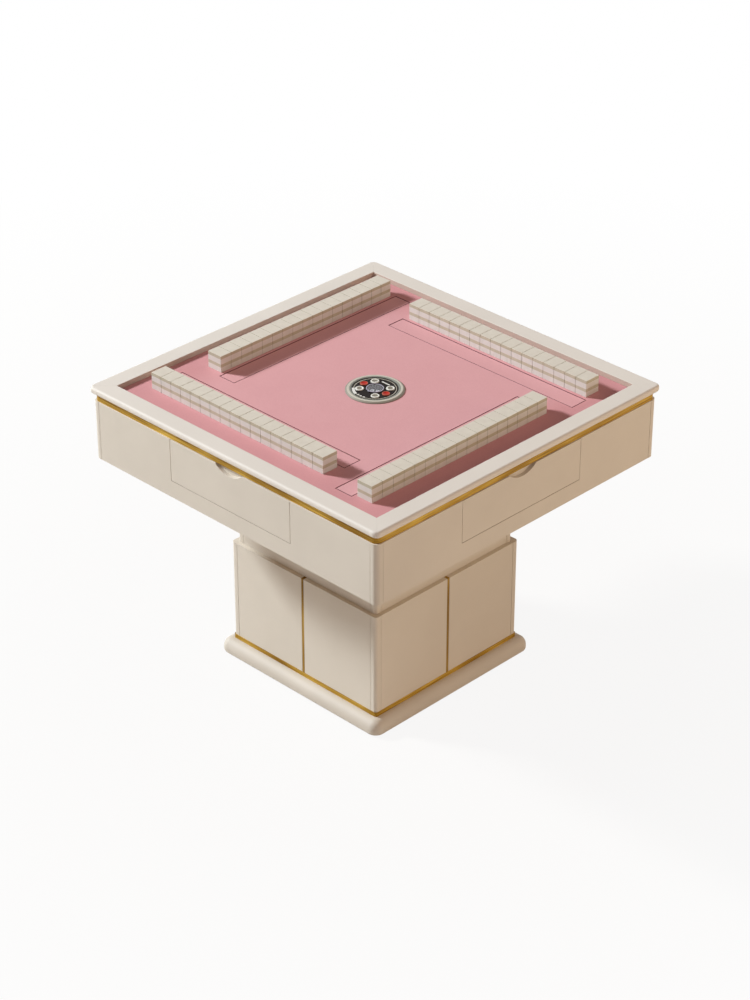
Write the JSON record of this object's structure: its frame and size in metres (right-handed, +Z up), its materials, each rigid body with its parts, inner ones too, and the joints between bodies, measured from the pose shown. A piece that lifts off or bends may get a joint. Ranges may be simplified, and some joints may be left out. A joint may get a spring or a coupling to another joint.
{
  "type": "mahjong table with drawers",
  "caption": "Square automatic mahjong table on a pedestal: felt top in a mitred rail, rising console, lifting tile walls, shuffling disc and a drawer in each side.",
  "frame": {"origin": "on the floor, under the middle of the plinth", "axes": "+Z up; -Y is the south side (near left in the picture), +X the east side (near right)"},
  "size_m": [0.97, 0.97, 0.7908],
  "materials": {
    "cream_paint": "satin lacquer on fibreboard",
    "gold_trim": "brushed gold",
    "board": "plain board",
    "felt": "short pile table cloth",
    "steel": "powder coat",
    "bronze": "sintered",
    "grey_plastic": "moulded",
    "champagne_metal": "satin anodised",
    "black_face": "gloss",
    "clear_cover": "clear",
    "white_plastic": "gloss",
    "red_plastic": "gloss",
    "tile": "polished melamine",
    "rubber": "matt"
  },
  "bodies": {
    "table": {"base_plinth": "cream_paint", "pedestal_panels": "cream_paint", "pedestal_posts": "cream_paint", "pedestal_cap": "cream_paint", "neck_panels": "cream_paint", "neck_posts": "cream_paint", "apron_panels": "cream_paint", "apron_posts": "cream_paint", "rail_south": "cream_paint", "rail_east": "cream_paint", "rail_north": "cream_paint", "rail_west": "cream_paint", "pedestal_strips": "gold_trim", "pedestal_band": "gold_trim", "rail_band": "gold_trim", "top_board": "board", "top_frame": "board", "machine_deck": "board", "drawer_cheeks": "board", "drawer_runners": "board", "felt_cloth": "felt", "stand_frame": "steel", "lift_channels": "steel", "column_guide": "steel", "gear_motors": "steel", "lift_bushes": "bronze", "shuffle_bowl": "grey_plastic", "control_box": "grey_plastic", "foot_glides": "rubber"},
    "drawer_south": {"drawer_face_south": "cream_paint", "drawer_tray_south": "cream_paint"},
    "drawer_east": {"drawer_face_east": "cream_paint", "drawer_tray_east": "cream_paint"},
    "drawer_north": {"drawer_face_north": "cream_paint", "drawer_tray_north": "cream_paint"},
    "drawer_west": {"drawer_face_west": "cream_paint", "drawer_tray_west": "cream_paint"},
    "lift_south": {"lift_plate_south": "felt"},
    "lift_east": {"lift_plate_east": "felt"},
    "lift_north": {"lift_plate_north": "felt"},
    "lift_west": {"lift_plate_west": "felt"},
    "console": {"console_ring": "champagne_metal", "console_face": "black_face", "console_housing": "grey_plastic", "console_column": "steel", "dice_cover": "clear_cover", "dice": "white_plastic"},
    "button_white_ne_cap": {"button_white_ne": "white_plastic"},
    "button_white_nw_cap": {"button_white_nw": "white_plastic"},
    "button_white_sw_cap": {"button_white_sw": "white_plastic"},
    "button_white_se_cap": {"button_white_se": "white_plastic"},
    "button_red_east_cap": {"button_red_east": "red_plastic"},
    "button_red_west_cap": {"button_red_west": "red_plastic"},
    "tiles_south": {"tile_row_south": "tile"},
    "tiles_east": {"tile_row_east": "tile"},
    "tiles_north": {"tile_row_north": "tile"},
    "tiles_west": {"tile_row_west": "tile"},
    "shuffler": {"shuffle_disc": "grey_plastic"}
  },
  "joints": [
    {"name": "drawer_south_slide", "type": "slide", "parent": "table", "child": "drawer_south", "axis": [0, -1, 0], "range_m": [0, 0.095]},
    {"name": "drawer_east_slide", "type": "slide", "parent": "table", "child": "drawer_east", "axis": [1, 0, 0], "range_m": [0, 0.095]},
    {"name": "drawer_north_slide", "type": "slide", "parent": "table", "child": "drawer_north", "axis": [0, 1, 0], "range_m": [0, 0.095]},
    {"name": "drawer_west_slide", "type": "slide", "parent": "table", "child": "drawer_west", "axis": [-1, 0, 0], "range_m": [0, 0.095]},
    {"name": "lift_south_slide", "type": "slide", "parent": "table", "child": "lift_south", "axis": [0, 0, 1], "range_m": [-0.048, 0]},
    {"name": "lift_east_slide", "type": "slide", "parent": "table", "child": "lift_east", "axis": [0, 0, 1], "range_m": [-0.048, 0]},
    {"name": "lift_north_slide", "type": "slide", "parent": "table", "child": "lift_north", "axis": [0, 0, 1], "range_m": [-0.048, 0]},
    {"name": "lift_west_slide", "type": "slide", "parent": "table", "child": "lift_west", "axis": [0, 0, 1], "range_m": [-0.048, 0]},
    {"name": "console_lift", "type": "slide", "parent": "table", "child": "console", "axis": [0, 0, 1], "range_m": [0, 0.07]},
    {"name": "button_white_ne_press", "type": "slide", "parent": "console", "child": "button_white_ne_cap", "axis": [0, 0, -1], "range_m": [0, 0.0015], "stiffness_N_per_m": 400, "springref_m": -0.002},
    {"name": "button_white_nw_press", "type": "slide", "parent": "console", "child": "button_white_nw_cap", "axis": [0, 0, -1], "range_m": [0, 0.0015], "stiffness_N_per_m": 400, "springref_m": -0.002},
    {"name": "button_white_sw_press", "type": "slide", "parent": "console", "child": "button_white_sw_cap", "axis": [0, 0, -1], "range_m": [0, 0.0015], "stiffness_N_per_m": 400, "springref_m": -0.002},
    {"name": "button_white_se_press", "type": "slide", "parent": "console", "child": "button_white_se_cap", "axis": [0, 0, -1], "range_m": [0, 0.0015], "stiffness_N_per_m": 400, "springref_m": -0.002},
    {"name": "button_red_east_press", "type": "slide", "parent": "console", "child": "button_red_east_cap", "axis": [0, 0, -1], "range_m": [0, 0.0015], "stiffness_N_per_m": 400, "springref_m": -0.002},
    {"name": "button_red_west_press", "type": "slide", "parent": "console", "child": "button_red_west_cap", "axis": [0, 0, -1], "range_m": [0, 0.0015], "stiffness_N_per_m": 400, "springref_m": -0.002},
    {"name": "tiles_south_push", "type": "slide", "parent": "table", "child": "tiles_south", "axis": [0, -1, 0], "range_m": [-0.057, 0.06]},
    {"name": "tiles_east_push", "type": "slide", "parent": "table", "child": "tiles_east", "axis": [1, 0, 0], "range_m": [-0.057, 0.06]},
    {"name": "tiles_north_push", "type": "slide", "parent": "table", "child": "tiles_north", "axis": [0, 1, 0], "range_m": [-0.057, 0.06]},
    {"name": "tiles_west_push", "type": "slide", "parent": "table", "child": "tiles_west", "axis": [-1, 0, 0], "range_m": [-0.057, 0.06]},
    {"name": "shuffler_spin", "type": "hinge", "parent": "table", "child": "shuffler", "pos_m": [0, 0, 0.61], "axis": [0, 0, 1], "continuous": true}
  ],
  "couplings": [
    {"joint": "lift_east_slide", "follows": "lift_south_slide", "ratio": 1},
    {"joint": "lift_north_slide", "follows": "lift_south_slide", "ratio": 1},
    {"joint": "lift_west_slide", "follows": "lift_south_slide", "ratio": 1}
  ]
}
